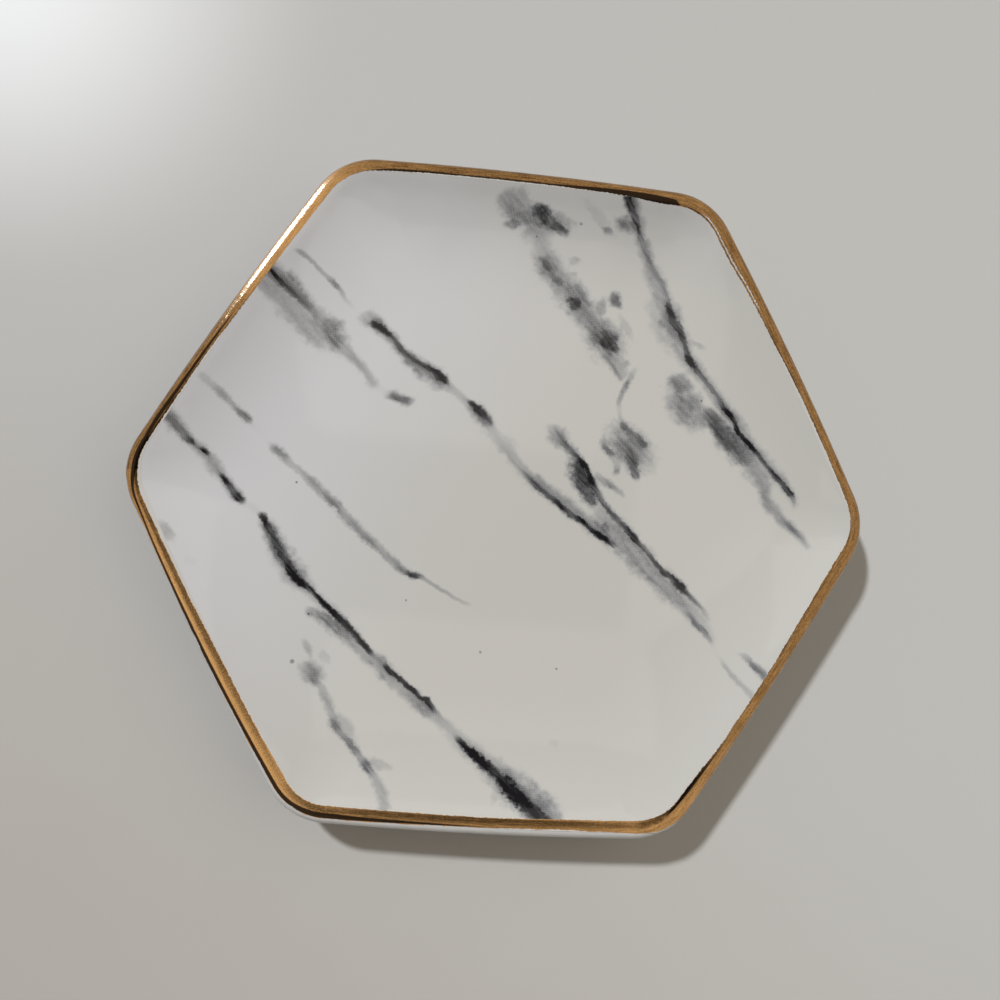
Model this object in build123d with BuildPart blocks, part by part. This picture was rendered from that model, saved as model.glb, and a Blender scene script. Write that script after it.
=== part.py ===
from build123d import *
import os
from math import cos, hypot, radians, sin, sqrt, tan

# Ring dish: a shallow hexagonal porcelain tray with rounded corners, bowed sides and a rolled lip.
# Frame: millimetres, +Z up, origin at the middle of the resting plane, +X towards a corner, +Y towards a side.

# Outline of the lip, seen from above
across_flats = 108.0
corner_radius = 11.0
side_radius = 650.0

# Heights and walls. Both walls leave the lip at a lean and ease out flat: the inner one is gentle and long,
# so the inside is shallow, and the outer one tucks in steeply under the lip.
dish_height = 12.0
foot_height = 3.5
floor_thickness = 4.8
lip_thickness = 3.0
inner_lean = 22
outer_lean = 40
inner_easing = 2.5
outer_easing = 3

# The corner radii that the walls end with, at the floor and at the underside
floor_corner_radius = 7.0
base_corner_radius = 8.0

# Foot ring under the base, with its rim wiped clean of glaze
foot_inset = 17.0
foot_ring_width = 3.0
foot_edge_round = 0.4
wiped_height = 0.8

# Fired layers: white glaze all over, then the printed transfer and the gold lustre on top of it
glaze_thickness = 0.3
print_thickness = 0.1
gold_thickness = 0.12

# The gold is brushed on by hand, so its two edges lie at another inset from the lip's outline on each side.
# The sides are taken clockwise from the one that faces +Y. Where the gold goes over the edge, its inset is
# the overhang, and it ends lower down the outside of the lip.
gold_overhang = 1.0
gold_skirt_drop = 0.9
gold_corner_radius = 9.0
gold_outer_insets = [-gold_overhang, -gold_overhang, -gold_overhang, 1.4, 0.8, -gold_overhang]
gold_inner_insets = [2.1, 2.2, 2.0, 2.9, 2.65, 2.0]

# How finely the walls and the lip are followed
wall_steps = 12
lip_steps = 4

hexagon = 6
half_round = 180
side_turn = 360 / hexagon
lip_radius = lip_thickness / 2
lip_centre_height = dish_height - lip_radius
floor_level = foot_height + floor_thickness


def polar(distance, angle):
    return Vector(distance * cos(radians(angle)), distance * sin(radians(angle)))


def outline(inset, height, round_radius):
    """A hexagon of bowed sides and round corners that meet smoothly, at inset inside the lip's outline."""
    apothem = across_flats / 2 - inset
    bow_reach = side_radius - inset - apothem
    corner_place = sqrt((bow_reach + apothem - round_radius) ** 2 - (bow_reach * sin(radians(side_turn / 2))) ** 2)
    corner_place -= bow_reach * cos(radians(side_turn / 2))

    def meeting(corner_angle, side_angle):
        corner = polar(corner_place, corner_angle)
        return corner + (corner + polar(bow_reach, side_angle)).normalized() * round_radius

    with BuildSketch(Plane.XY.offset(height)) as section:
        with BuildLine():
            for k in range(hexagon):
                angle = k * side_turn
                start = meeting(angle, angle - side_turn / 2)
                end = meeting(angle, angle + side_turn / 2)
                next_start = meeting(angle + side_turn, angle + side_turn / 2)
                ThreePointArc(start, polar(corner_place + round_radius, angle), end)
                ThreePointArc(end, polar(apothem, angle + side_turn / 2), next_start)
        make_face()
    return section.sketch


def station(inset, height, corner, out, up):
    """One step of the profile: its inset and height, its corner radius and its outward direction."""
    return inset, height, corner, out / hypot(out, up), up / hypot(out, up)


def eased_wall(lip_turn, lean, easing, end_level, end_corner, facing):
    """The steps of a wall that leaves the lip at a turn round it and eases out flat at another level."""
    start_inset = lip_radius * (1 - cos(radians(lip_turn)))
    start_height = lip_centre_height + lip_radius * sin(radians(lip_turn))
    start_corner = corner_radius - start_inset
    drop = start_height - end_level
    reach = easing * drop / tan(radians(lean))
    steps = []
    for k in range(1, wall_steps + 1):
        left = 1 - k / wall_steps
        inset = start_inset + reach * (1 - left)
        corner = end_corner + (start_corner - end_corner) * left
        slope = tan(radians(lean)) * left ** (easing - 1)
        steps.append(station(inset, end_level + drop * left**easing, corner, -facing * slope, facing))
    return steps


def profile():
    """The dish in section: up the flared outside from the base, over the lip and down the wall to the floor."""
    first_turn = outer_lean - half_round / 2
    last_turn = inner_lean + half_round / 2
    stations = eased_wall(first_turn, outer_lean, outer_easing, foot_height, base_corner_radius, -1)[::-1]
    for k in range(lip_steps + 1):
        turn = radians(first_turn + (last_turn - first_turn) * k / lip_steps)
        inset = lip_radius * (1 - cos(turn))
        height = lip_centre_height + lip_radius * sin(turn)
        stations.append(station(inset, height, corner_radius - inset, cos(turn), sin(turn)))
    return stations + eased_wall(last_turn, inner_lean, inner_easing, floor_level, floor_corner_radius, 1)


def sections(growth):
    """The profile's outlines, with the dish's whole surface moved outward by growth."""
    return [
        outline(inset - growth * out, height + growth * up, corner + growth * out)
        for inset, height, corner, out, up in profile()
    ]


def brushed_outline(insets):
    """The outline of one edge of the gold, with an inset of its own on each side of the hexagon."""
    half_side = across_flats / 2 / cos(radians(side_turn / 2)) / 2
    side_bow = half_side**2 / side_radius / 2
    apothems = [across_flats / 2 - inset for inset in insets]
    normals = [half_round / 2 - k * side_turn for k in range(hexagon)]
    corners = []
    for k in range(hexagon):
        here = apothems[k] - side_bow
        beyond = apothems[(k + 1) % hexagon] - side_bow
        along = (beyond - here * cos(radians(side_turn))) / sin(radians(side_turn))
        corners.append(polar(here, normals[k]) + polar(along, normals[k] - half_round / 2))
    with BuildSketch() as section:
        with BuildLine():
            for k in range(hexagon):
                ThreePointArc(corners[k - 1], polar(apothems[k], normals[k]), corners[k])
        make_face()
        fillet(section.vertices(), radius=gold_corner_radius)
    return section.sketch


def foot_ring(growth, bottom):
    """The foot ring, grown on both sides, from a height above the table up into the floor of the dish."""
    with BuildPart() as ring:
        add(outline(foot_inset - growth, bottom, base_corner_radius))
        extrude(amount=foot_height + floor_thickness / 2 - bottom)
        inner_inset = foot_inset + foot_ring_width + growth
        add(outline(inner_inset, bottom, base_corner_radius - foot_ring_width))
        extrude(amount=foot_height + floor_thickness / 2 - bottom, mode=Mode.SUBTRACT)
    return ring.part


# The fired clay body under the glaze, with the foot ring that the dish stands on
with BuildPart() as bisque_body:
    add(foot_ring(0, 0))
    foot_edges = bisque_body.faces().sort_by(Axis.Z)[0].edges()
    fillet(foot_edges, radius=foot_edge_round)
    loft(sections(-glaze_thickness))

# The white glaze, an even coat over the whole body but the rim of the foot
with BuildPart() as white_glaze:
    loft(sections(0))
    glazed_form = white_glaze.part
    add(foot_ring(glaze_thickness, wiped_height))
    add(bisque_body.part, mode=Mode.SUBTRACT)


def overglaze(thickness):
    """A coat of even thickness over the whole glaze, from which a fired-on layer is cut."""
    with BuildPart() as coat:
        loft(sections(thickness))
        add(glazed_form, mode=Mode.SUBTRACT)
    return coat.part


# The marble print, a transfer that lines the dish up to the gold
with BuildPart() as marble_print:
    add(overglaze(print_thickness))
    add(brushed_outline(gold_inner_insets))
    extrude(amount=dish_height + lip_thickness, mode=Mode.INTERSECT)
    underside = marble_print.solids().sort_by(Axis.Z)[0]
    add(underside, mode=Mode.SUBTRACT)

# The gold lustre, a band brushed along the lip outside the print
with BuildPart() as gold_rim:
    add(overglaze(gold_thickness))
    with BuildSketch(Plane.XY.offset(lip_centre_height - gold_skirt_drop)):
        add(brushed_outline(gold_outer_insets))
        add(brushed_outline(gold_inner_insets), mode=Mode.SUBTRACT)
    extrude(amount=lip_radius + gold_skirt_drop + lip_thickness, mode=Mode.INTERSECT)

pieces = {
    "bisque_body": bisque_body,
    "white_glaze": white_glaze,
    "marble_print": marble_print,
    "gold_rim": gold_rim,
}
os.makedirs("parts", exist_ok=True)
for name, piece in pieces.items():
    piece.part.label = name
    export_step(piece.part, f"parts/{name}.step")
    print(name, len(piece.part.solids()), round(piece.part.volume, 1), piece.part.is_valid)
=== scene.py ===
import bpy
from math import cos, pi, radians, sin, sqrt
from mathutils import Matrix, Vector

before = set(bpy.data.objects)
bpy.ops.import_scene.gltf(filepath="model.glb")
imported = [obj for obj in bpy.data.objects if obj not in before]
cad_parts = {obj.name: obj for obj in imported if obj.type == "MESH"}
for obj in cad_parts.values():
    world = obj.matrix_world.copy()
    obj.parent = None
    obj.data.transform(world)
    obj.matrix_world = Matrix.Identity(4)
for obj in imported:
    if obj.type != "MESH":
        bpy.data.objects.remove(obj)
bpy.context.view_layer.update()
mm = 0.001

# Table: the dish stands on a plain pale table. Its colour is painted paler towards the upper left, a
# painted sheen where the window light grazes it, and painted darker towards the lower left, a painted shade
# where the light falls off. It is a flat sheet, much larger than the dish.
table_half = 1.5
table_colour = (0.505, 0.494, 0.474, 1)
table_painted_sheen = (0.89, 0.89, 0.88, 1)
table_painted_shade = (0.42, 0.392, 0.362, 1)
painted_sheen_centre = (-91, 86)
painted_sheen_reach = 60
painted_shade_start = 30
painted_shade_end = -150
painted_shade_slant = 0.6
table_roughness = 0.6
mottle_scale = 0.05
mottle_reach = 20


class Signal:
    """A socket of a material's node tree, so that shader maths is written as Python expressions."""

    def __init__(self, tree, socket=None):
        self.tree = tree
        self.socket = socket

    def node(self, kind, settings=None, sockets=None, output=0):
        """Adds a node of any kind: its settings first, then the values or links of its sockets."""
        made = self.tree.nodes.new(kind)
        for name, value in (settings or {}).items():
            if name == "stops":
                ramp = made.color_ramp
                for spare in range(len(value) - len(ramp.elements)):
                    ramp.elements.new(1)
                for element, (place, colour) in zip(ramp.elements, value):
                    element.position = place
                    element.color = colour
            elif name == "points":
                curve = made.mapping.curves[0]
                for spare in range(len(value) - len(curve.points)):
                    curve.points.new(1, 0)
                for point, place in zip(curve.points, value):
                    point.location = place
                    point.handle_type = "AUTO_CLAMPED"
                made.mapping.update()
            else:
                setattr(made, name, value)
        for name, value in (sockets or {}).items():
            if isinstance(value, Signal):
                self.tree.links.new(value.socket, made.inputs[name])
            else:
                made.inputs[name].default_value = value
        return Signal(self.tree, made.outputs[output] if made.outputs else None)

    def math(self, operation, *values):
        return self.node("ShaderNodeMath", {"operation": operation}, dict(enumerate(values)))

    def __add__(self, other):
        return self.math("ADD", self, other)

    __radd__ = __add__

    def __sub__(self, other):
        return self.math("SUBTRACT", self, other)

    def __rsub__(self, other):
        return self.math("SUBTRACT", other, self)

    def __mul__(self, other):
        return self.math("MULTIPLY", self, other)

    __rmul__ = __mul__

    def __truediv__(self, other):
        return self.math("DIVIDE", self, other)

    def __abs__(self):
        return self.math("ABSOLUTE", self)

    def __pow__(self, other):
        return self.math("POWER", self, other)

    def times_plus(self, factor, term):
        return self.math("MULTIPLY_ADD", self, factor, term)

    def most(self, other):
        return self.math("MAXIMUM", self, other)

    def least(self, other):
        return self.math("MINIMUM", self, other)

    def rise(self, low, high):
        """0 below low and 1 above high, with a smooth step between. low may be the larger one."""
        settings = {"interpolation_type": "SMOOTHSTEP"}
        return self.node("ShaderNodeMapRange", settings, {"Value": self, "From Min": low, "From Max": high})

    def blend(self, first, second):
        """A colour that goes from first to second as this value goes from 0 to 1."""
        colours = {"Factor": self, 6: first, 7: second}
        return self.node("ShaderNodeMix", {"data_type": "RGBA"}, colours, output=2)


def new_material(name):
    """An empty node material with its output node, and its tree as a signal to add nodes to."""
    material = bpy.data.materials.new(name)
    material.use_nodes = True
    material.node_tree.nodes.clear()
    return material, Signal(material.node_tree)


def finish_material(tree, settings):
    """Closes a material with the shader that most surfaces have."""
    shader = tree.node("ShaderNodeBsdfPrincipled", {}, settings)
    tree.node("ShaderNodeOutputMaterial", {}, {"Surface": shader})


def place_in_mm(tree):
    """The place on the object, in millimetres, as a vector and as its three parts."""
    coordinates = tree.node("ShaderNodeTexCoord", output="Object")
    scaled = tree.node("ShaderNodeVectorMath", {"operation": "SCALE"}, {0: coordinates, "Scale": 1 / mm})
    parts = [tree.node("ShaderNodeSeparateXYZ", {}, {0: scaled}, output=axis) for axis in "XYZ"]
    return scaled, *parts


def noise(tree, place, scale, detail=3, roughness=0.5):
    settings = {"Vector": place, "Scale": scale, "Detail": detail, "Roughness": roughness}
    return tree.node("ShaderNodeTexNoise", {}, settings)


material, tree = new_material("table_top")
place, x, y, z = place_in_mm(tree)
painted_sheen_distance = ((x - painted_sheen_centre[0]) ** 2 + (y - painted_sheen_centre[1]) ** 2) ** 0.5
mottle = noise(tree, place, mottle_scale)
# Painted shade: the table's colour is darkened towards the lower left
painted_shade = (y + x * painted_shade_slant + mottle * mottle_reach).rise(painted_shade_start, painted_shade_end)
colour = painted_shade.blend(table_colour, table_painted_shade)
# Painted sheen: the table's colour is made paler round the upper left
colour = painted_sheen_distance.rise(painted_sheen_reach, 0).blend(colour, table_painted_sheen)
finish_material(tree, {"Base Color": colour, "Roughness": table_roughness})
bpy.ops.object.select_all(action="DESELECT")
bpy.ops.mesh.primitive_plane_add(size=2 * table_half)
table = bpy.context.object
table.name = "table_top"
table.data.materials.append(material)

# Foot ring: the clay body shows only on the ring that the dish stands on, where the glaze was wiped
# off before the firing. It is unglazed porcelain, slightly warm, matt and finely speckled.
clay_colour = (0.70, 0.65, 0.58, 1)
clay_shade = (0.60, 0.55, 0.48, 1)
clay_speck = (0.42, 0.36, 0.30, 1)
clay_roughness = 0.85
clay_relief = 0.05 * mm

material, tree = new_material("bare_clay")
place, x, y, z = place_in_mm(tree)
grain = noise(tree, place, 2.2, detail=5)
specks = noise(tree, place, 5.5, detail=1).rise(0.68, 0.76)
colour = grain.blend(clay_colour, clay_shade)
colour = (specks * 0.6).blend(colour, clay_speck)
bump = tree.node("ShaderNodeBump", {}, {"Strength": 0.3, "Distance": clay_relief, "Height": grain})
finish_material(tree, {"Base Color": colour, "Roughness": clay_roughness, "Normal": bump})
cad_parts["bisque_body"].data.materials.clear()
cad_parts["bisque_body"].data.materials.append(material)

# Gold rim: a film of bright gold lustre, painted along the lip with a loaded brush and fired on. Its
# two edges waver, it is thin and brown where the brush ran dry, and beyond them lies the bare glaze.
# Round the dish its colour is also painted brighter, browner or almost black, as painted reflections.
across_flats = 108
corner_radius = 11
side_radius = 650
lip_centre_height = 10.5
gold_colour = (1.0, 0.57, 0.225, 1)
gold_brown = (0.165, 0.082, 0.028, 1)
gold_painted_dark_reflection = (0.035, 0.022, 0.014, 1)
side_turn = 60
lowest_gold = 8
skirt_share = 1.3
edge_blur = 0.05
waver_reach = 0.5
ragged_reach = 0.42
brushed_relief = 0.05 * mm

# Where the gold begins and ends, against the azimuth round the dish: how far in over the lip it lies,
# in millimetres, with what hangs down outside the lip counted below zero
gold_starts = [
    (-180, -0.9), (-176, 0.1), (-170, 0.4), (-160, 0.35), (-150, 0.35), (-140, 0.5), (-130, 0.7),
    (-120, 1.0), (-110, 1.1), (-100, 1.25), (-90, 1.45), (-78, 1.55), (-70, 1.4), (-63, 1.0),
    (-57, 0.4), (-52, -0.9), (180, -0.9),
]
gold_ends = [
    (-180, 1.95), (-170, 2.1), (-160, 2.3), (-150, 2.55), (-135, 2.75), (-122, 3.0), (-110, 3.0),
    (-90, 2.95), (-72, 3.1), (-64, 3.1), (-58, 2.8), (-50, 2.4), (-42, 2.0), (-30, 2.0), (-18, 2.2),
    (-8, 2.35), (0, 2.1), (10, 1.85), (22, 1.8), (32, 2.0), (42, 2.2), (46, 2.3), (52, 2.6),
    (60, 2.5), (65, 2.5), (72, 2.15), (80, 1.95), (95, 1.9), (110, 1.95), (120, 2.15), (135, 2.1),
    (150, 1.95), (160, 1.75), (170, 1.8), (180, 1.95),
]
# The strip where the gold is painted almost black, a painted dark reflection, from how far in to how far in
painted_reflection_starts = [
    (-180, 1.0), (-172, 0.6), (-162, 0.4), (-150, 0.3), (-140, 0.5), (-130, 0.7), (-120, 1.0),
    (-110, 1.1), (-100, 1.3), (-90, 1.45), (-78, 1.5), (-66, 1.4), (-61, 1.2), (-59, 2.2),
    (-55, 2.0), (-48, 1.75), (-42, 1.75), (-36, 1.9), (-10, 2.3), (0, 2.1), (12, 1.75), (24, 1.7),
    (34, 1.9), (43, 2.15), (47, 2.6), (63, 2.6), (64, 1.75), (67, 1.35), (72, 1.15), (80, 1.4),
    (90, 1.62), (100, 1.62), (110, 1.55), (116, 1.9), (120, 2.3), (140, 1.9), (150, 1.35),
    (158, 1.05), (166, 0.9), (171, 0.75), (176, 1.0), (180, 1.0),
]
painted_reflection_ends = [
    (-180, 1.75), (-174, 1.1), (-166, 0.9), (-150, 1.0), (-140, 1.15), (-130, 1.4), (-121, 1.75),
    (-116, 2.0), (-110, 1.85), (-100, 1.75), (-92, 1.65), (-84, 1.6), (-70, 1.5), (-63, 1.2),
    (-59, 2.25), (-55, 2.6), (-50, 2.2), (-44, 1.9), (-38, 1.75), (-10, 1.8), (0, 1.85), (12, 1.95),
    (24, 1.9), (34, 2.05), (43, 2.3), (47, 2.3), (63, 2.3), (64, 2.6), (72, 2.3), (80, 2.0),
    (90, 1.95), (100, 1.95), (110, 2.0), (116, 2.2), (120, 2.1), (140, 1.6), (150, 1.5), (158, 1.5),
    (166, 1.5), (171, 1.45), (176, 1.8), (180, 1.9),
]
# How fully the lustre covers, with the gold painted brighter or browner as a painted reflection, and how
# rough it was left, against the azimuth
gold_fullness_and_painted_reflection = [
    (-180, 0.3), (-165, 0.75), (-150, 1.0), (-122, 1.0), (-112, 0.6), (-60, 0.5), (-30, 0.2),
    (0, 0.2), (40, 0.15), (62, 0.2), (100, 0.08), (118, 0.3), (128, 0.8), (144, 0.6), (152, 0.15),
    (180, 0.1),
]
gold_roughnesses = [
    (-180, 0.16), (-160, 0.26), (-120, 0.26), (-90, 0.22), (-60, 0.18), (-30, 0.16), (0, 0.16),
    (30, 0.20), (60, 0.22), (90, 0.16), (118, 0.14), (126, 0.21), (144, 0.21), (150, 0.12),
    (180, 0.14),
]
# Where the brush skipped and left a broken thread of glaze bare, beside the inner edge
skip_middle = 50.5
skip_reach = 10
skip_inset = 0.36
skip_width = 0.15
mark_low = -2
mark_high = 4


def round_the_dish(tree, azimuth, marks):
    """A value that changes with the azimuth as the marks say."""
    span = mark_high - mark_low
    points = [(mark / 360 + 0.5, (value - mark_low) / span) for mark, value in marks]
    curve = tree.node("ShaderNodeFloatCurve", {"points": points}, {"Value": azimuth / (2 * pi) + 0.5})
    return curve * span + mark_low


def lip_places(tree, x, y, z):
    """The azimuth round the dish, and how far in over the lip a place lies, below zero outside it."""
    bow_reach = side_radius - across_flats / 2
    half_turn = radians(side_turn / 2)
    bow = Vector((-bow_reach * cos(half_turn), -bow_reach * sin(half_turn)))
    corner_place = sqrt((side_radius - corner_radius) ** 2 - bow.y**2) + bow.x
    azimuth = tree.math("ARCTAN2", y, x)
    folded = tree.math("PINGPONG", azimuth, half_turn)
    distance = (x * x + y * y) ** 0.5
    along = distance * folded.math("COSINE", folded)
    beside = distance * folded.math("SINE", folded)
    side_inset = side_radius - ((along - bow.x) ** 2 + (beside - bow.y) ** 2) ** 0.5
    corner_inset = corner_radius - ((along - corner_place) ** 2 + beside * beside) ** 0.5
    in_corner = (along - corner_place) * -bow.y - beside * (corner_place - bow.x)
    in_corner = in_corner.math("GREATER_THAN", in_corner, 0)
    inset = side_inset + (corner_inset - side_inset) * in_corner
    return azimuth, inset - (lip_centre_height - z).most(0) * skirt_share


def gilded(tree, place, x, y, z, colour, roughness):
    """Finishes a material with the gold lustre over a ground of its own colour and roughness."""
    azimuth, over = lip_places(tree, x, y, z)
    waver = (noise(tree, place, 0.3) - 0.5) * waver_reach
    ragged = (noise(tree, place, 2.4, detail=4, roughness=0.6) - 0.5) * ragged_reach
    start = round_the_dish(tree, azimuth, gold_starts) + waver + ragged * 0.5
    end = round_the_dish(tree, azimuth, gold_ends) + waver * 0.4 - ragged
    gold = (over - start).rise(-edge_blur, edge_blur) * (end - over).rise(-edge_blur, edge_blur)
    gold = gold * (z - lowest_gold).rise(0, 0.5)
    skip = abs(end - over - skip_inset - ragged * 0.35).rise(skip_width, skip_width * 0.4)
    skip = skip * abs(azimuth * (180 / pi) - skip_middle).rise(skip_reach, skip_reach * 0.8)
    gold = gold * (1 - skip * ragged.rise(-0.07, -0.01))
    along_rim = azimuth * (across_flats / 2)
    rim_place = tree.node("ShaderNodeCombineXYZ", {}, {"X": along_rim * 0.25, "Y": over * 4})
    strokes = noise(tree, rim_place, 1, detail=5, roughness=0.65)
    grain = noise(tree, place, 4.5)
    # Painted reflection: the gold's colour is made brighter or browner by azimuth, besides the brush
    # strokes
    fullness_and_painted_reflection = round_the_dish(tree, azimuth, gold_fullness_and_painted_reflection)
    brushed = (strokes * 0.6 + grain * 0.4).rise(0.35, 0.65)
    coverage_and_painted_reflection = (brushed * 0.5 + fullness_and_painted_reflection * 0.85 - 0.11).least(1).most(0)
    metal = coverage_and_painted_reflection.blend(gold_brown, gold_colour)
    # Painted dark reflection: strips of the gold are coloured almost black where it should mirror dark
    # things
    painted_reflection_from = over - round_the_dish(tree, azimuth, painted_reflection_starts) + waver * 0.25
    painted_reflection_to = round_the_dish(tree, azimuth, painted_reflection_ends) - over - ragged * 0.25
    painted_dark_reflection = painted_reflection_from.rise(-edge_blur, 0.12) * painted_reflection_to.rise(-edge_blur, 0.12)
    metal = (painted_dark_reflection * 0.98).blend(metal, gold_painted_dark_reflection)
    polish = round_the_dish(tree, azimuth, gold_roughnesses) + (grain - 0.5) * 0.1
    chatter_place = tree.node("ShaderNodeCombineXYZ", {}, {"X": along_rim * 1.8, "Y": over * 0.35})
    chatter = noise(tree, chatter_place, 1, detail=3, roughness=0.6)
    relief = (strokes + grain * 0.4 + chatter * 0.7 + 0.5) * gold
    sockets = {"Strength": 0.35, "Distance": brushed_relief, "Height": relief}
    ripple = tree.node("ShaderNodeBump", {}, sockets)
    settings = {"Base Color": gold.blend(colour, metal), "Metallic": gold, "Normal": ripple}
    settings["Roughness"] = roughness + gold * (polish - roughness)
    finish_material(tree, settings)


# White glaze: a glassy, slightly warm coat that the whole dish but the foot ring was dipped in. It
# pools a little and shows a faint tone variation and fine pinholes.
glaze_colour = (0.540, 0.522, 0.495, 1)
glaze_cool = (0.545, 0.540, 0.545, 1)
glaze_roughness = 0.07

material, tree = new_material("white_glaze")
place, x, y, z = place_in_mm(tree)
tone = noise(tree, place, 0.08)
pinholes = noise(tree, place, 3.5, detail=1).rise(0.77, 0.8)
colour = (pinholes * 0.35).blend(tone.blend(glaze_colour, glaze_cool), clay_speck)
gilded(tree, place, x, y, z, colour, glaze_roughness)
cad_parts["white_glaze"].data.materials.clear()
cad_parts["white_glaze"].data.materials.append(material)

material, tree = new_material("gold_lustre")
place, x, y, z = place_in_mm(tree)
gilded(tree, place, x, y, z, glaze_colour, glaze_roughness)
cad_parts["gold_rim"].data.materials.clear()
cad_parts["gold_rim"].data.materials.append(material)

# Marble print: a ceramic transfer that lines the dish up to the gold, printed with grey and black
# veins on white and fired into the glaze. Its greys are broken up into a fine screen of dots.
ink_black = (0.010, 0.009, 0.010, 1)
ink_grey = (0.26, 0.26, 0.265, 1)
print_white = (0.525, 0.507, 0.475, 1)
print_painted_light = (0.572, 0.564, 0.578, 1)
print_painted_shade = (0.475, 0.465, 0.455, 1)
painted_light_from = 2
painted_light_to = 60
painted_shade_from = 43
painted_shade_to = 68
screen_strength = 0.17
screen_pitch = 0.38
screen_angle = 45
vein_lie = -44
streak_pace = 0.16
streak_pace_across = 1.1
sway_reach = 0.7
blot_sway_reach = 1.5

# Each vein's route, seen from above: place and half width in millimetres, and strength of the ink
main_vein = [
    (-24.4, 27.7, 0.5, 0.3), (-23.4, 27.2, 0.7, 0.95), (-22.0, 26.4, 0.65, 1.0),
    (-21.0, 25.6, 0.55, 0.95), (-19.8, 24.6, 0.5, 0.75), (-18.8, 23.5, 0.6, 0.8),
    (-17.4, 22.4, 0.6, 0.8), (-15.8, 21.5, 0.55, 0.8), (-14.4, 20.8, 0.55, 0.95),
    (-13.0, 20.1, 0.7, 1.0), (-11.9, 19.3, 0.8, 1.0), (-10.8, 18.6, 0.5, 0.7),
    (-9.2, 17.4, 0.4, 0.35), (-7.2, 15.9, 0.5, 0.5), (-6.1, 15.1, 0.6, 1.0),
    (-5.0, 14.4, 0.8, 0.95), (-3.9, 13.3, 0.8, 0.8), (-3.0, 12.3, 0.5, 0.65),
    (-2.2, 10.9, 0.4, 0.35), (-0.7, 8.9, 0.5, 0.4), (1.2, 6.4, 0.4, 0.45), (3.6, 4.2, 0.6, 0.6),
    (5.6, 2.6, 0.7, 0.75), (7.6, 1.3, 0.6, 0.75), (9.4, 0.1, 0.6, 0.9), (11.0, -1.1, 0.6, 0.85),
    (13.1, -2.4, 0.5, 1.0), (14.6, -3.4, 0.5, 0.8), (16.7, -4.7, 0.6, 1.0), (18.3, -5.5, 0.5, 0.8),
    (19.7, -6.5, 0.4, 0.5),
]
main_vein_end = [
    (19.7, -6.7, 0.6, 0.25), (22.4, -9.0, 0.7, 0.35), (25.2, -11.1, 0.7, 0.4),
    (28.2, -13.3, 0.7, 0.45), (31.0, -15.4, 0.6, 0.45), (32.8, -17.0, 0.6, 0.6),
    (34.6, -18.7, 0.6, 0.65), (36.3, -20.5, 0.5, 0.5), (37.4, -22.4, 0.4, 0.1),
    (39.0, -24.9, 0.4, 0.4), (41.0, -27.0, 0.5, 0.4), (43.8, -29.5, 0.5, 0.4),
]
second_vein = [
    (7.6, 11.6, 0.9, 0.3), (10.2, 9.6, 0.9, 0.7), (11.6, 8.3, 0.7, 0.7), (13.0, 6.9, 0.6, 1.0),
    (13.7, 5.8, 0.6, 0.9), (14.2, 4.7, 0.7, 1.0), (15.0, 3.2, 0.7, 0.85), (16.0, 1.8, 0.6, 0.75),
    (17.3, 0.2, 0.6, 0.75), (19.0, -1.4, 0.6, 0.75), (20.6, -3.0, 0.6, 0.85),
    (22.1, -4.4, 0.65, 1.0), (23.1, -5.4, 0.5, 0.85), (24.6, -6.6, 0.5, 0.75),
    (26.1, -8.3, 0.5, 0.8), (27.6, -9.7, 0.55, 0.9), (29.1, -10.7, 0.6, 0.9),
    (30.6, -11.8, 0.8, 1.0), (31.7, -12.8, 0.6, 0.85), (32.8, -13.8, 0.5, 0.65),
    (34.4, -15.2, 0.5, 0.5), (36.3, -17.6, 0.4, 0.2),
]
second_vein_arm = [
    (14.8, 5.7, 0.5, 0.3), (16.2, 4.7, 0.7, 0.55), (17.6, 3.9, 0.6, 0.65), (19.0, 3.2, 0.5, 0.5),
    (20.4, 2.1, 0.3, 0.3),
]
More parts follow.
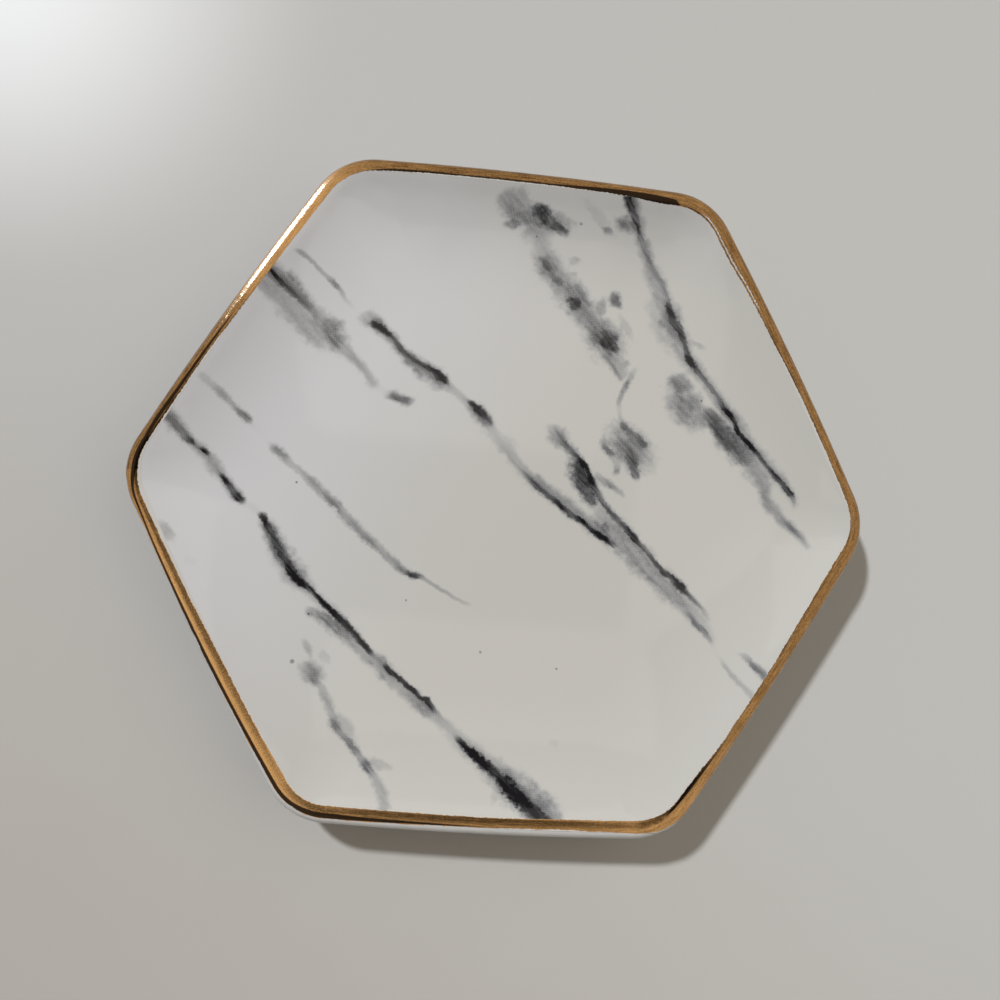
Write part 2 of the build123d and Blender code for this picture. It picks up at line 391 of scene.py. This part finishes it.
left_vein = [
    (-55.0, 9.4, 0.8, 0.6), (-53.4, 8.0, 0.9, 0.65), (-52.0, 6.5, 0.8, 0.6), (-50.8, 5.2, 0.6, 0.8),
    (-49.8, 4.5, 0.4, 0.45), (-48.7, 4.1, 0.45, 1.0), (-48.0, 3.3, 0.5, 0.5),
    (-47.0, 2.0, 0.7, 0.45), (-46.0, 0.5, 0.5, 0.55), (-45.2, -0.4, 0.55, 0.9),
    (-44.2, -1.6, 0.5, 0.75), (-43.4, -2.6, 0.7, 0.95), (-42.6, -3.2, 0.7, 1.0),
    (-41.6, -3.9, 0.4, 0.2), (-40.0, -4.9, 0.3, 0.1), (-39.0, -5.6, 0.55, 0.95),
    (-38.3, -6.7, 0.7, 0.95), (-37.4, -8.1, 0.8, 0.75), (-36.3, -10.0, 0.9, 0.8),
    (-35.0, -12.0, 0.9, 0.8), (-34.0, -13.4, 0.9, 0.95), (-33.0, -14.8, 0.9, 1.0),
    (-31.5, -16.0, 0.75, 1.0), (-30.0, -17.2, 0.5, 0.85), (-28.5, -18.5, 0.5, 1.0),
    (-27.0, -19.7, 0.55, 1.0), (-25.5, -21.0, 0.65, 1.0), (-24.0, -22.3, 0.7, 1.0),
    (-22.5, -23.8, 0.55, 0.95), (-21.0, -25.2, 0.55, 1.0), (-19.6, -26.5, 0.5, 0.85),
    (-18.0, -27.6, 0.5, 0.5), (-16.6, -29.0, 0.5, 1.0), (-15.0, -30.2, 0.5, 0.95),
    (-13.5, -31.4, 0.5, 1.0), (-12.1, -32.2, 0.55, 1.0), (-11.3, -33.1, 0.45, 0.85),
    (-10.1, -33.6, 0.6, 1.0), (-9.3, -34.5, 0.5, 0.95), (-8.5, -35.4, 0.5, 0.65),
    (-7.3, -36.7, 0.6, 0.45), (-6.0, -38.0, 0.5, 0.4), (-4.8, -39.2, 0.5, 0.6),
    (-3.4, -40.4, 0.6, 0.95), (-2.0, -41.5, 0.8, 1.0), (-0.3, -42.8, 0.95, 1.0),
    (1.2, -44.0, 0.9, 0.9), (2.5, -45.0, 1.0, 0.9), (4.0, -46.2, 1.4, 1.0), (6.0, -48.0, 1.5, 1.0),
    (8.0, -49.6, 1.3, 1.0), (11.5, -51.6, 0.9, 0.8),
]
fine_vein = [
    (-50.2, 16.2, 0.6, 0.3), (-48.2, 14.6, 0.6, 0.35), (-46.3, 13.0, 0.75, 0.55),
    (-45.2, 12.1, 0.6, 0.45), (-44.0, 11.0, 0.6, 0.55), (-42.6, 9.9, 0.7, 0.65),
    (-41.4, 8.9, 0.4, 0.15), (-39.6, 7.0, 0.4, 0.05), (-38.2, 5.7, 0.6, 0.45),
    (-36.9, 4.7, 0.75, 0.6), (-35.8, 3.8, 0.7, 0.5), (-34.4, 2.8, 0.6, 0.4),
    (-32.8, 1.4, 0.6, 0.45), (-31.4, 0.4, 0.8, 0.55), (-30.0, -0.8, 0.8, 0.55),
    (-28.5, -1.9, 0.9, 0.6), (-27.4, -2.7, 0.85, 0.64), (-26.0, -4.3, 0.75, 0.54),
    (-24.5, -5.6, 0.8, 0.6), (-23.0, -7.0, 0.8, 0.6), (-21.5, -8.2, 0.8, 0.6),
    (-19.7, -9.5, 0.7, 0.55), (-18.0, -11.0, 0.7, 0.55), (-16.5, -12.1, 0.65, 0.65),
    (-15.0, -13.0, 0.6, 0.75), (-13.6, -13.5, 0.7, 0.9), (-12.5, -13.8, 0.5, 0.65),
    (-10.8, -14.5, 0.35, 0.45), (-8.5, -15.7, 0.35, 0.45), (-6.5, -16.8, 0.35, 0.4),
    (-3.9, -17.7, 0.3, 0.2),
]
top_vein = [
    (16.3, 52.2, 0.9, 0.9), (17.4, 49.6, 0.8, 0.85), (18.5, 47.8, 0.7, 0.8), (19.3, 46.0, 0.6, 0.7),
    (20.5, 43.5, 0.6, 0.65), (22.0, 41.0, 0.6, 0.6), (23.5, 38.8, 0.6, 0.55),
    (24.7, 36.4, 0.6, 0.6), (25.5, 34.2, 0.8, 0.85), (26.5, 32.3, 1.0, 0.85),
    (27.6, 30.5, 0.8, 0.9), (28.7, 28.3, 0.6, 0.75), (29.5, 26.2, 0.8, 0.95),
    (30.7, 24.7, 0.6, 0.8), (32.2, 23.1, 0.5, 0.7), (33.8, 21.4, 0.5, 0.75), (35.1, 19.8, 0.5, 0.7),
    (36.1, 18.5, 0.6, 0.9), (37.0, 17.6, 0.6, 1.0), (37.9, 16.3, 0.5, 0.85), (38.4, 15.2, 0.5, 1.0),
    (39.4, 14.0, 0.5, 0.9), (40.7, 12.8, 0.5, 1.0), (42.5, 10.8, 0.5, 0.75), (44.0, 9.3, 0.5, 0.75),
    (45.3, 7.9, 0.55, 0.85), (46.6, 6.7, 0.5, 0.85), (47.7, 5.5, 0.55, 0.95), (48.5, 4.4, 0.5, 0.7),
    (49.2, 2.7, 0.4, 0.4),
]
under_top_vein = [
    (32.6, 17.9, 0.6, 0.4), (33.7, 16.8, 0.8, 0.68), (35.0, 15.1, 0.7, 0.55),
    (36.3, 13.5, 0.7, 0.55), (37.6, 11.9, 0.8, 0.62), (38.8, 10.6, 0.9, 0.62),
    (40.4, 9.2, 0.7, 0.4), (42.6, 6.6, 0.6, 0.35), (44.0, 3.9, 0.6, 0.5), (45.5, 1.8, 0.5, 0.45),
    (47.2, 0.4, 0.6, 0.55), (48.6, -0.6, 0.7, 0.6), (50.2, -2.0, 0.5, 0.45), (51.8, -3.9, 0.4, 0.2),
]
middle_vein = [
    (10.0, 33.4, 0.7, 0.5), (11.4, 32.0, 0.7, 0.4), (13.2, 30.4, 1.2, 0.55), (14.8, 28.6, 1.5, 0.8),
    (16.2, 27.2, 1.2, 0.75), (15.9, 25.2, 0.6, 0.55), (17.0, 23.3, 0.55, 0.5),
    (18.5, 21.5, 0.5, 0.45),
]
middle_vein_end = [
    (20.5, 24.2, 0.5, 0.2), (19.8, 22.2, 0.5, 0.5), (19.1, 20.6, 0.55, 0.65),
    (18.4, 19.2, 0.5, 0.55), (18.1, 18.1, 0.5, 0.5), (18.3, 16.7, 0.4, 0.3), (18.9, 14.6, 0.5, 0.5),
]
patch_veins = [
    [
        (18.5, 14.9, 0.6, 0.5), (19.3, 13.9, 0.8, 0.7), (21.0, 12.7, 0.7, 0.65),
        (22.6, 11.4, 0.8, 0.8), (23.6, 10.6, 0.5, 0.4),
    ],
    [
        (15.8, 12.2, 0.6, 0.3), (16.3, 10.2, 0.8, 0.65), (17.0, 9.5, 0.8, 0.75),
        (18.2, 8.1, 0.6, 0.4), (18.6, 6.0, 0.7, 0.7),
    ],
    [
        (19.6, 11.9, 1.2, 0.5), (20.5, 9.8, 1.4, 0.7), (21.2, 7.9, 1.2, 0.75),
        (21.8, 6.3, 0.9, 0.75), (22.3, 5.0, 0.5, 0.4),
    ],
]
corner_vein = [
    (-41.4, 33.9, 0.5, 0.9), (-40.0, 33.1, 0.5, 0.9), (-38.4, 31.8, 0.55, 0.8),
    (-36.4, 30.2, 0.7, 0.65), (-34.4, 28.8, 0.7, 0.6), (-32.8, 27.0, 0.6, 0.45),
    (-31.2, 25.2, 0.7, 0.55), (-29.4, 23.8, 0.8, 0.65), (-28.0, 22.8, 0.6, 0.45),
    (-26.2, 20.9, 0.6, 0.4), (-24.6, 19.6, 0.5, 0.35), (-23.2, 17.8, 0.6, 0.4),
    (-21.4, 16.7, 0.4, 0.1), (-20.0, 15.8, 0.7, 0.5), (-18.3, 15.2, 0.7, 0.65),
    (-16.8, 14.9, 0.5, 0.4),
]
upper_trace = [
    (-37.2, 37.4, 0.4, 0.15), (-35.4, 36.8, 0.45, 0.5), (-33.6, 35.5, 0.4, 0.5),
    (-32.0, 34.1, 0.4, 0.45), (-30.5, 33.0, 0.5, 0.65), (-29.4, 31.9, 0.45, 0.5),
    (-28.4, 30.7, 0.35, 0.3), (-26.8, 29.2, 0.4, 0.1),
]
low_branch = [
    (-30.8, -24.8, 0.5, 0.3), (-29.8, -26.3, 0.55, 0.45), (-29.2, -28.0, 0.5, 0.25),
    (-28.9, -30.2, 1.2, 0.5), (-28.4, -31.2, 0.9, 0.6), (-27.2, -32.6, 0.7, 0.45),
    (-26.2, -34.3, 0.7, 0.5), (-25.3, -36.2, 0.7, 0.45), (-24.5, -38.3, 0.9, 0.65),
    (-23.4, -39.6, 0.8, 0.55), (-22.2, -40.8, 0.7, 0.65), (-21.0, -42.0, 0.7, 0.7),
    (-19.9, -43.3, 0.6, 0.6), (-19.0, -44.3, 0.8, 0.8), (-18.0, -45.4, 0.7, 0.6),
    (-17.0, -46.9, 0.8, 0.45), (-16.0, -48.7, 0.9, 0.45), (-15.3, -51.4, 1.0, 0.5),
]
right_trace = [
    (40.8, -22.2, 0.4, 0.2), (42.4, -23.2, 0.55, 0.5), (44.0, -24.6, 0.7, 0.7),
    (46.1, -26.8, 0.6, 0.65),
]
veins = [
    main_vein, main_vein_end, second_vein, second_vein_arm, left_vein, fine_vein, top_vein,
    under_top_vein, middle_vein, middle_vein_end, *patch_veins, corner_vein, upper_trace,
    low_branch, right_trace,
]

# The washes of thinned grey that the veins lie in, in the same way
main_wash = [
    (-26.2, 28.4, 1.0, 0.2), (-24.2, 28.0, 1.5, 0.4), (-22.4, 26.6, 1.3, 0.5),
    (-20.0, 24.6, 1.1, 0.45), (-17.6, 22.3, 1.3, 0.5), (-15.0, 20.5, 1.6, 0.5),
    (-12.5, 19.2, 1.7, 0.5), (-10.5, 17.9, 1.1, 0.35), (-8.0, 16.2, 0.8, 0.25),
    (-5.5, 14.2, 1.4, 0.5), (-3.4, 12.3, 1.2, 0.4), (-2.4, 10.7, 1.2, 0.25), (-0.2, 8.8, 1.4, 0.3),
    (1.6, 6.4, 1.1, 0.3), (4.0, 4.3, 1.2, 0.4), (7.0, 2.3, 1.4, 0.45), (10.0, 0.3, 1.4, 0.45),
    (13.0, -1.7, 1.3, 0.45), (16.0, -3.5, 1.6, 0.5), (19.5, -5.8, 1.4, 0.4),
]
second_wash = [
    (15.2, 0.8, 1.2, 0.25), (17.5, -2.2, 1.9, 0.4), (20.0, -4.7, 2.3, 0.45),
    (23.0, -7.5, 2.4, 0.45), (26.0, -10.1, 2.2, 0.45), (29.0, -12.7, 2.1, 0.45),
    (32.0, -15.1, 1.8, 0.4), (35.0, -18.2, 1.3, 0.25), (37.0, -20.9, 0.8, 0.15),
]
left_wash = [
    (-55.4, 9.8, 1.4, 0.4), (-53.0, 7.8, 1.4, 0.45), (-51.0, 5.5, 1.0, 0.4), (-48.5, 3.5, 1.2, 0.4),
    (-47.0, 1.8, 1.3, 0.35), (-45.0, -0.6, 1.0, 0.4), (-43.0, -2.9, 1.2, 0.45),
    (-41.5, -4.0, 0.8, 0.12), (-39.8, -5.0, 0.9, 0.12), (-38.0, -7.2, 1.4, 0.45),
    (-36.0, -10.4, 1.8, 0.5), (-34.0, -13.4, 2.0, 0.5), (-31.4, -16.2, 1.6, 0.4),
    (-28.5, -18.6, 1.2, 0.3), (-25.0, -21.6, 1.2, 0.3), (-21.5, -25.0, 1.0, 0.2),
]
under_left_wash = [
    (-30.8, -20.0, 0.6, 0.3), (-29.0, -20.7, 1.1, 0.45), (-27.0, -21.8, 1.3, 0.52),
    (-25.0, -23.2, 1.3, 0.52), (-23.0, -24.7, 1.2, 0.45), (-20.6, -26.6, 1.3, 0.4),
    (-18.5, -28.0, 1.4, 0.45), (-16.5, -29.9, 1.5, 0.45), (-14.5, -31.4, 1.3, 0.4),
    (-12.2, -33.4, 1.5, 0.45), (-10.3, -34.9, 1.4, 0.5), (-8.3, -36.3, 1.1, 0.35),
    (-6.0, -38.0, 1.2, 0.3), (-3.5, -40.2, 1.4, 0.35), (0.0, -42.8, 1.8, 0.4),
    (3.0, -45.0, 2.3, 0.45), (6.0, -47.0, 2.7, 0.5), (9.0, -49.0, 2.6, 0.5),
    (12.8, -51.4, 2.0, 0.4),
]
top_wash = [
    (16.6, 52.4, 1.4, 0.5), (18.2, 48.4, 1.4, 0.45), (20.0, 44.4, 1.2, 0.4),
    (21.7, 40.8, 1.6, 0.42), (23.2, 38.0, 1.7, 0.4), (24.4, 35.2, 1.8, 0.42),
    (25.6, 32.4, 2.3, 0.5), (27.2, 29.6, 2.0, 0.45), (29.0, 26.6, 1.6, 0.4), (31.4, 24.0, 1.3, 0.4),
    (34.0, 21.2, 1.3, 0.4), (36.0, 18.6, 1.4, 0.45), (38.2, 15.8, 1.5, 0.45),
    (41.0, 12.4, 1.4, 0.4), (44.0, 9.2, 1.4, 0.4), (47.4, 5.8, 1.1, 0.35), (49.6, 2.6, 0.8, 0.2),
]
under_top_wash = [
    (31.2, 19.0, 0.8, 0.15), (33.4, 17.3, 1.4, 0.5), (35.6, 15.0, 2.0, 0.6), (38.0, 12.7, 2.3, 0.6),
    (40.4, 10.6, 2.2, 0.5), (42.8, 7.8, 1.9, 0.4), (44.2, 4.9, 1.5, 0.42), (45.4, 2.4, 1.1, 0.4),
    (47.6, 0.2, 1.0, 0.4), (49.6, -1.5, 0.9, 0.4), (52.0, -4.0, 0.7, 0.2),
]
corner_wash = [
    (-41.4, 34.4, 1.8, 0.5), (-39.0, 32.7, 1.8, 0.5), (-36.5, 30.7, 1.6, 0.5),
    (-34.0, 28.7, 1.4, 0.45), (-31.6, 26.1, 2.0, 0.42), (-29.5, 24.0, 2.0, 0.48),
    (-27.8, 22.4, 1.4, 0.35), (-26.0, 20.9, 1.0, 0.35), (-24.4, 19.5, 0.9, 0.32),
    (-23.0, 17.6, 1.1, 0.32), (-21.3, 16.6, 0.7, 0.1), (-19.6, 15.7, 1.1, 0.45),
    (-17.5, 15.0, 1.1, 0.5), (-15.9, 14.6, 0.7, 0.2),
]
under_corner_wash = [
    (-42.6, 32.4, 1.1, 0.4), (-40.0, 30.6, 1.8, 0.4), (-37.2, 28.4, 2.1, 0.38),
    (-34.6, 26.2, 2.3, 0.4), (-32.4, 24.2, 2.1, 0.4), (-30.4, 22.4, 1.3, 0.2),
]
middle_wash = [
    (-4.4, 50.4, 1.4, 0.4), (-1.6, 48.0, 2.6, 0.46), (2.0, 45.4, 2.6, 0.42), (3.0, 42.6, 2.0, 0.35),
    (4.6, 39.4, 2.4, 0.46), (7.0, 36.9, 2.2, 0.46), (9.4, 34.2, 2.6, 0.5), (12.0, 31.4, 2.4, 0.47),
    (15.0, 28.2, 3.0, 0.52), (17.0, 25.0, 1.8, 0.42), (18.8, 21.8, 1.0, 0.3),
]
washes = [
    main_wash, second_wash, left_wash, under_left_wash, top_wash, under_top_wash, corner_wash,
    under_corner_wash, middle_wash,
]

# Blots of ink beside the veins: centre, half length, half width, lie in degrees, strength
blots = [
    (13.1, 4.3, 4.0, 1.7, -60, 0.70), (17.3, -3.3, 1.6, 1.0, 70, 0.55),
    (8.4, 11.2, 2.0, 1.5, -40, 0.46), (20.6, 10.4, 4.2, 2.8, -42, 0.50),
    (24.0, 8.4, 2.0, 0.8, -55, 0.25), (2.0, 47.0, 5.0, 1.7, -8, 0.52),
    (2.6, 47.7, 2.2, 1.4, -25, 0.70), (-1.8, 45.9, 1.8, 0.9, 15, 0.50),
    (5.2, 46.1, 2.2, 0.9, -32, 0.65), (-1.3, 49.3, 1.8, 1.5, 80, 0.40),
    (4.6, 39.0, 3.2, 1.6, -52, 0.52), (4.2, 39.6, 1.5, 0.9, -50, 0.62),
    (6.0, 37.4, 1.8, 1.0, -35, 0.55), (9.5, 35.1, 3.0, 1.7, -62, 0.52),
    (9.3, 34.1, 1.5, 1.1, -50, 0.75), (8.8, 40.9, 1.0, 0.6, 0, 0.35),
    (8.6, 38.7, 0.7, 0.5, 0, 0.30), (15.0, 28.7, 3.8, 2.3, -48, 0.52),
    (15.6, 28.0, 2.4, 1.5, -50, 0.72), (13.9, 33.2, 1.9, 0.8, 80, 0.42),
    (16.3, 35.1, 1.4, 1.0, -50, 0.58), (18.3, 30.6, 2.0, 0.7, -60, 0.28),
    (18.4, 24.6, 0.9, 0.6, 0, 0.38), (17.0, 47.3, 2.1, 1.2, -10, 0.50),
    (13.6, 46.3, 0.8, 0.7, 0, 0.50), (12.2, 47.9, 3.2, 0.8, -42, 0.22),
    (22.4, 39.5, 2.2, 1.5, -50, 0.32), (24.8, 31.4, 4.6, 1.8, -58, 0.30),
    (30.6, 28.7, 1.2, 0.5, -10, 0.28), (28.6, 21.7, 2.2, 1.6, -30, 0.55),
    (29.6, 18.2, 3.8, 2.6, -50, 0.52), (31.6, 16.6, 2.6, 1.3, -15, 0.48),
    (-30.6, 26.0, 2.2, 1.7, -20, 0.5), (-27.0, -27.6, 1.3, 0.7, -60, 0.22),
    (-28.9, -30.1, 2.0, 1.5, -20, 0.42), (-17.2, -44.0, 2.0, 0.7, -8, 0.30),
    (-23.0, -38.6, 2.2, 1.2, -50, 0.30), (-1.6, 10.3, 3.0, 0.8, -14, 0.22),
    (2.2, -48.0, 1.1, 0.8, 60, 0.22), (-53.0, -9.2, 1.6, 0.8, -55, 0.35),
    (11.4, -39.3, 0.8, 0.5, 0, 0.16), (-49.0, -13.7, 1.0, 0.7, 0, 0.10),
]
specks = [
    (-14.7, -17.6, 0.2), (-1.9, -25.2, 0.25), (10.9, -27.1, 0.2), (32.1, 19.4, 0.25),
    (9.2, 46.8, 0.25), (-32.1, -28.6, 0.4), (-30.2, -20.9, 0.25), (-33.9, 0.2, 0.2),
    (2.0, 44.1, 0.2),
]


def route_distance(x, y, route):
    """How far a place is from a route, in its half widths, and the ink that is laid there."""
    start = Vector(route[0][:2])
    base = Vector(route[-1][:2]) - start
    along = base.normalized()
    across = Vector((-along.y, along.x))
    shares = [(Vector(mark[:2]) - start).dot(along) / base.length for mark in route]
    bends = [(Vector(mark[:2]) - start).dot(across) for mark in route]
    bend_limit = max(abs(bend) for bend in bends) + 1
    width_limit = max(mark[2] for mark in route)
    margin = 0.02
    pace = (1 - 2 * margin) / base.length
    share = x.times_plus(along.x * pace, y.times_plus(along.y * pace, margin - start.dot(along) * pace))
    offset = x.times_plus(across.x, y * across.y)

    def followed(values):
        points = [(margin + place * (1 - 2 * margin), value) for place, value in zip(shares, values)]
        return share.node("ShaderNodeFloatCurve", {"points": points}, {"Value": share})

    bend = followed([0.5 + value / bend_limit / 2 for value in bends])
    bend = bend.times_plus(2 * bend_limit, start.dot(across) - bend_limit)
    width = followed([mark[2] / width_limit for mark in route]) * width_limit
    fade = 0.6 * pace
    ink = followed([mark[3] for mark in route])
    ink = ink * share.rise(margin - fade, margin + fade) * share.rise(1 - margin + fade, 1 - margin - fade)
    return abs(offset - bend) / width, ink


def blot_ink(x, y, patchy, blot):
    """A soft oval of ink with an edge as uneven as patchy."""
    centre_x, centre_y, half_length, half_width, lie, strength = blot
    along = Vector((cos(radians(lie)), sin(radians(lie)))) / half_length
    across = Vector((-sin(radians(lie)), cos(radians(lie)))) / half_width
    centre = Vector((centre_x, centre_y))
    lengthways = x.times_plus(along.x, y.times_plus(along.y, -centre.dot(along)))
    crossways = x.times_plus(across.x, y.times_plus(across.y, -centre.dot(across)))
    spread = lengthways.times_plus(lengthways, crossways.times_plus(crossways, patchy))
    return spread.rise(2.5, 0.0) * strength


def laid_ink(x, y, routes, edge, reach):
    """The ink of all the routes, the strongest at each place, out to a reach in half widths."""
    ink = None
    for route in routes:
        distance, strength = route_distance(x, y, route)
        laid = (distance + edge).rise(reach, 0.3) * strength
        ink = laid if ink is None else ink.most(laid)
    return ink


# The marble sways a little, its streaks lie as its veins do, and its edges are ragged
material, tree = new_material("marble_print")
place, x, y, z = place_in_mm(tree)
sway = noise(tree, place, 0.35, detail=2) - 0.5
sway_beside = noise(tree, place, 0.45, detail=2) - 0.5
waved_x = x + sway * sway_reach
waved_y = y + sway_beside * sway_reach
flow = radians(vein_lie)
flow_along = (x * cos(flow) + y * sin(flow)) * streak_pace
flow_across = (y * cos(flow) - x * sin(flow)) * streak_pace_across
flow_place = tree.node("ShaderNodeCombineXYZ", {}, {"X": flow_along, "Y": flow_across})
streaks = noise(tree, flow_place, 1, detail=4, roughness=0.6)
fine = noise(tree, place, 1.3, detail=4, roughness=0.6)
coarse = noise(tree, place, 0.6, detail=4, roughness=0.6)
ragged = (fine - 0.5) * 1.5 + (streaks - 0.5) * 0.9
washed = (coarse - 0.5) * 1.4 + (fine - 0.5) * 0.4
patchy = (coarse - 0.5) * 2.0 + (fine - 0.5) * 0.9

# The ink is laid vein by vein, and the washes, blots and specks are added to it
ink = laid_ink(waved_x, waved_y, veins, ragged, 1.75)
wash = laid_ink(waved_x, waved_y, washes, washed, 1.5)
blot_x = waved_x + (noise(tree, place, 0.75, detail=2) - 0.5) * blot_sway_reach
blot_y = waved_y + (noise(tree, place, 0.65, detail=2) - 0.5) * blot_sway_reach
for blot in blots:
    wash = wash.most(blot_ink(blot_x, blot_y, patchy, blot))
for centre_x, centre_y, radius in specks:
    distance = ((x - centre_x) ** 2 + (y - centre_y) ** 2) ** 0.5
    ink = ink.most(distance.rise(radius * 1.4, radius * 0.5) * 0.65)
ink = ink * ((streaks - 0.5) * 1.0 + 0.95)
wash = wash * ((streaks - 0.5) * 0.85 + (fine - 0.5) * 0.55 + 1.22)
shade = (ink.most(wash) + ink.least(wash) * 0.15).least(1).most(0)

# The screen of dots shows in the middle greys
turn = radians(screen_angle)
screen_x = (x * cos(turn) + y * sin(turn)) * (2 * pi / screen_pitch)
screen_y = (y * cos(turn) - x * sin(turn)) * (2 * pi / screen_pitch)
screen = tree.math("SINE", screen_x) * tree.math("SINE", screen_y) * 0.5 + 0.5
dotted = (shade - screen * 0.8).rise(-0.25, 0.25)
mid = shade.rise(0.3, 0.7) * shade.rise(1, 0.75)
shade = shade + (dotted - shade) * mid * screen_strength

# The white is painted cooler and paler towards the upper left, a painted reflection of bluish light,
# and painted darker up the far wall, a painted shade. The ink goes from grey to black.
upper_left_painted_light = (y * 0.5 - x + noise(tree, place, 0.05) * 20).rise(painted_light_from, painted_light_to)
far_wall_painted_shade = (y + x * 0.1 + noise(tree, place, 0.07) * 14).rise(painted_shade_from, painted_shade_to)
ground = far_wall_painted_shade.blend(upper_left_painted_light.blend(print_white, print_painted_light), print_painted_shade)
colour = shade.rise(0, 0.75).blend(ground, ink_grey)
colour = shade.rise(0.48, 1.02).blend(colour, ink_black)
gilded(tree, place, x, y, z, colour, glaze_roughness)
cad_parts["marble_print"].data.materials.clear()
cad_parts["marble_print"].data.materials.append(material)

# Light: a window high on the upper left gives the crisp shadow, and the room fills it with a dim
# warm light. The lamps themselves aren't mirrored in the gold and the glaze, and the room is.
window_from = Vector((-0.648, 0.682, 1))
window_colour = (0.96, 1, 1.04)
window_strength = 2.85
window_spread = 3.8
side_from = Vector((0.94, 0.34, 0.84))
side_colour = (1, 0.93, 0.82)
side_strength = 0.80
side_spread = 70
room_colour = (0.198, 0.180, 0.153, 1)
room_seen = (0.60, 0.57, 0.53, 1)
backdrop_colour = (0.80, 0.79, 0.77, 1)

lamps = {
    "window": (window_from, window_colour, window_strength, window_spread),
    "side_light": (side_from, side_colour, side_strength, side_spread),
}
for name, (light_from, colour, strength, spread) in lamps.items():
    lamp_data = bpy.data.lights.new(name, "SUN")
    lamp_data.energy = strength
    lamp_data.color = colour
    lamp_data.angle = radians(spread)
    lamp = bpy.data.objects.new(name, lamp_data)
    lamp.rotation_euler = light_from.to_track_quat("Z", "Y").to_euler()
    lamp.visible_glossy = False
    bpy.context.collection.objects.link(lamp)

world = bpy.data.worlds.new("room")
bpy.context.scene.world = world
world.use_nodes = True
world.node_tree.nodes.clear()
tree = Signal(world.node_tree)
rays = "ShaderNodeLightPath"
colour = tree.node(rays, output="Is Glossy Ray").blend(room_colour, room_seen)
colour = tree.node(rays, output="Is Camera Ray").blend(colour, backdrop_colour)
background = tree.node("ShaderNodeBackground", {}, {"Color": colour})
tree.node("ShaderNodeOutputWorld", {}, {"Surface": background})

# Dark card: held flat over the dish, behind the camera, so that the bright gold has something dark to
# mirror. It shows in reflections only, and is cut from thin black board.
card_colour = (0.012, 0.010, 0.009, 1)
card_fibre = (0.02, 0.018, 0.016, 1)
card_size = (155 * mm, 58 * mm, 1)
card_place = (-17.5 * mm, -5 * mm, 178 * mm)

material, tree = new_material("black_board")
place, x, y, z = place_in_mm(tree)
fibre = noise(tree, place, 1.5, detail=4)
finish_material(tree, {"Base Color": fibre.blend(card_colour, card_fibre), "Roughness": 0.9})


def stand_card(name, size, place, turn, material):
    """A thin card of a size, stood at a place with a turn, that only reflections show."""
    bpy.ops.object.select_all(action="DESELECT")
    bpy.ops.mesh.primitive_plane_add(size=1, location=place, rotation=turn)
    card = bpy.context.object
    card.name = name
    card.scale = size
    bpy.ops.object.transform_apply(location=True, rotation=True, scale=True)
    card.data.materials.append(material)
    for kind in ("camera", "diffuse", "shadow", "transmission"):
        setattr(card, "visible_" + kind, False)


stand_card("dark_card", card_size, card_place, (0, 0, 0), material)

# White card: stands beside the dish at its upper left and glows by its own emission, though it is no
# lamp, to give the gold lip there its long white glint, a painted highlight. It shows in reflections only.
white_card_azimuth = 150
white_card_distance = 404 * mm
white_card_beside = 86 * mm
white_card_gap = 6 * mm
white_card_size = (38 * mm, 310 * mm, 1)
white_card_glow = (0.76, 1.15, 2.3)
white_card_strength = 20

material, tree = new_material("glowing_glint_card")
place, x, y, z = place_in_mm(tree)
# The card's glow is its own emission, not light from the window
glow = (noise(tree, place, 0.05) * 0.4 + 0.8) * white_card_strength
shine = tree.node("ShaderNodeVectorMath", {"operation": "SCALE"}, {0: white_card_glow, "Scale": glow})
finish_material(tree, {"Base Color": card_colour, "Emission Color": shine, "Emission Strength": 1})
outward = Vector((cos(radians(white_card_azimuth)), sin(radians(white_card_azimuth)), 0))
sideways = Vector((outward.y, -outward.x, 0))
place = outward * white_card_distance + sideways * white_card_beside
place.z = white_card_gap + white_card_size[1] / 2
turn = (radians(90), 0, radians(white_card_azimuth - 90))
stand_card("white_card", white_card_size, place, turn, material)

# Camera: held in the hand close above the dish, almost upright, with the angle of view of a phone's
# main lens. Everything is in focus.
camera_data = bpy.data.cameras.new("camera")
camera_data.lens = 36
camera_data.sensor_width = 36
camera_data.clip_start = 10 * mm
camera = bpy.data.objects.new("camera", camera_data)
camera.location = (-15.34 * mm, -6.58 * mm, 173 * mm)
camera.rotation_euler = (0.03274, -0.09216, 0.07759)
bpy.context.collection.objects.link(camera)
bpy.context.scene.camera = camera
bpy.context.scene.view_settings.view_transform = "Standard"
